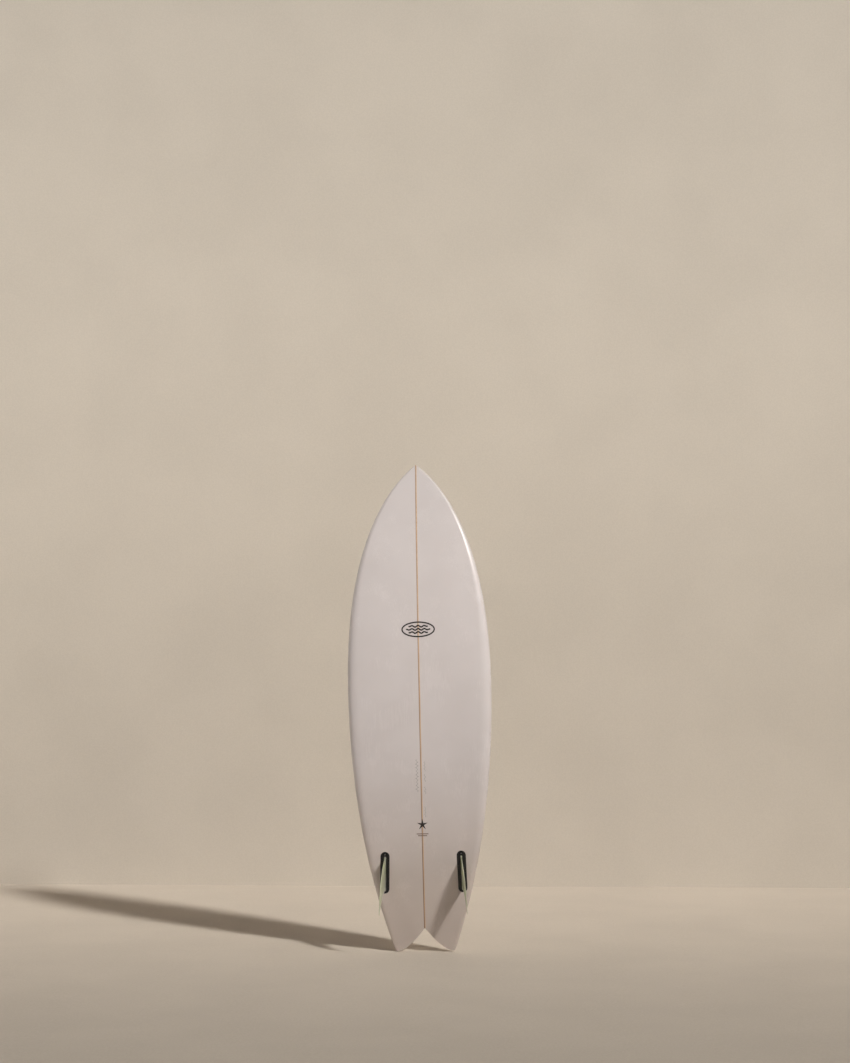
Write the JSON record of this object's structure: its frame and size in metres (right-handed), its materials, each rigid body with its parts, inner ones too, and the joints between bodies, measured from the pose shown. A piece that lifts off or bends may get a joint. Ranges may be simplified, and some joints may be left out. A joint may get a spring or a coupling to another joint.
{
  "type": "surfboard",
  "caption": "Short swallow-tail surfboard with a foam core, wooden stringer, glass skins, removable twin fins in slotted boxes and a recessed leash plug.",
  "frame": {"origin": "middle of the base of the whole object's box, at the height of the tail tips", "axes": "+Z from the tail to the nose, -Y out of the bottom on the fins' side, +Y out of the deck, +X to the right when looking at the bottom with the nose up"},
  "size_m": [0.508, 0.2266, 1.727],
  "materials": {
    "foam": "fine-cell rigid foam, shaped and sanded",
    "basswood": "thin straight-grained strip with a dark glue line",
    "clear_glass": "clear polyester and woven glass, gloss coat",
    "deck_glass": "clear polyester and two layers of woven glass, gloss coat",
    "box_black": "moulded black plastic, sanded flush",
    "fin_glass": "pale green translucent glass fibre, polished",
    "screw_steel": "stainless, hexagonal socket",
    "plug_black": "moulded black plastic",
    "pin_steel": "stainless bar"
  },
  "bodies": {
    "board": {"foam_core_left": "foam", "foam_core_right": "foam", "stringer": "basswood", "bottom_laminate": "clear_glass", "deck_laminate": "deck_glass", "tail_wrap": "clear_glass", "fin_box_left": "box_black", "fin_box_right": "box_black", "leash_plug": "plug_black", "leash_pin": "pin_steel"},
    "left_fin": {"fin_left": "fin_glass"},
    "right_fin": {"fin_right": "fin_glass"},
    "left_screw": {"fin_screw_left": "screw_steel"},
    "right_screw": {"fin_screw_right": "screw_steel"}
  },
  "joints": [
    {"name": "left_fin_out", "type": "slide", "parent": "board", "child": "left_fin", "axis": [-0.1132, -0.9906, -0.0771], "range_m": [0, 0.025]},
    {"name": "right_fin_out", "type": "slide", "parent": "board", "child": "right_fin", "axis": [0.1132, -0.9906, -0.0771], "range_m": [0, 0.025]},
    {"name": "left_screw_out", "type": "slide", "parent": "board", "child": "left_screw", "axis": [-0.0832, -0.8983, 0.4314], "range_m": [0, 0.012]},
    {"name": "right_screw_out", "type": "slide", "parent": "board", "child": "right_screw", "axis": [0.0832, -0.8983, 0.4314], "range_m": [0, 0.012]}
  ]
}
